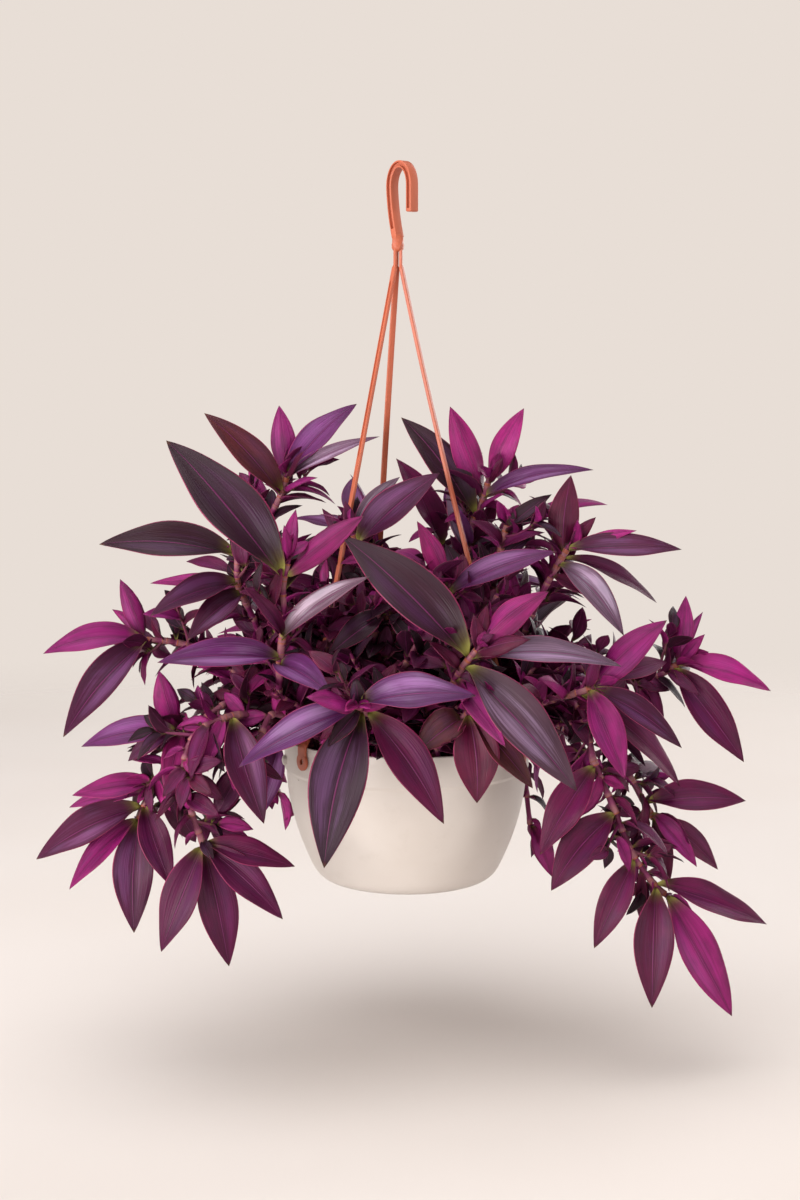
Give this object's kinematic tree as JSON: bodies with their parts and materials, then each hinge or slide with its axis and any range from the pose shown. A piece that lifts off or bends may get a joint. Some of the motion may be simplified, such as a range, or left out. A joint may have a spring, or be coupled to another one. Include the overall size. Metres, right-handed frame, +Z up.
{
  "type": "hanging potted tradescantia",
  "caption": "Purple-leaved tradescantia in a tapered white plastic pot that hangs from a hook by three straps.",
  "frame": {"origin": "the point under the hook's arch where it bears on whatever holds it", "axes": "+Z up along the height, -Y to the front, +X to the right as seen from the front"},
  "size_m": [0.5202, 0.3586, 0.5971],
  "materials": {
    "pot_plastic": "satin moulded plastic, off-white",
    "hanger_plastic": "satin moulded plastic, terracotta orange",
    "soil": "crumbly potting mix, near black brown",
    "foliage": "satin leaves, dark plum above and magenta below, on fleshy purple-pink stems"
  },
  "bodies": {
    "root": {"pot": "pot_plastic", "hook": "hanger_plastic", "strand_left": "hanger_plastic", "strand_right": "hanger_plastic", "strand_rear": "hanger_plastic", "soil": "soil", "far_left": "foliage", "left_dark": "foliage", "left_front": "foliage", "top_left": "foliage", "top_right": "foliage", "right_inner": "foliage", "right_upper": "foliage", "front_right": "foliage", "front_rosette": "foliage", "front_low": "foliage", "centre_back": "foliage", "centre_low": "foliage", "centre_right": "foliage", "right_front": "foliage", "far_right": "foliage", "right_trailer": "foliage", "right_trailer_low": "foliage", "left_low": "foliage", "left_trailer": "foliage", "left_trailer_front": "foliage", "left_under": "foliage", "back_trailer_1": "foliage", "back_trailer_2": "foliage", "back_trailer_3": "foliage", "back_trailer_4": "foliage", "back_trailer_5": "foliage", "back_spread_1": "foliage", "back_spread_2": "foliage", "back_spread_3": "foliage", "back_spread_4": "foliage", "back_spread_5": "foliage", "back_upright_1": "foliage", "back_upright_2": "foliage", "back_upright_3": "foliage", "back_upright_4": "foliage", "inner_1": "foliage", "inner_2": "foliage", "inner_3": "foliage", "inner_4": "foliage", "inner_5": "foliage", "inner_6": "foliage", "inner_7": "foliage", "inner_8": "foliage", "inner_9": "foliage", "inner_10": "foliage", "inner_11": "foliage", "inner_12": "foliage", "inner_13": "foliage", "inner_14": "foliage", "inner_15": "foliage", "inner_16": "foliage", "inner_17": "foliage", "inner_18": "foliage"}
  },
  "joints": []
}
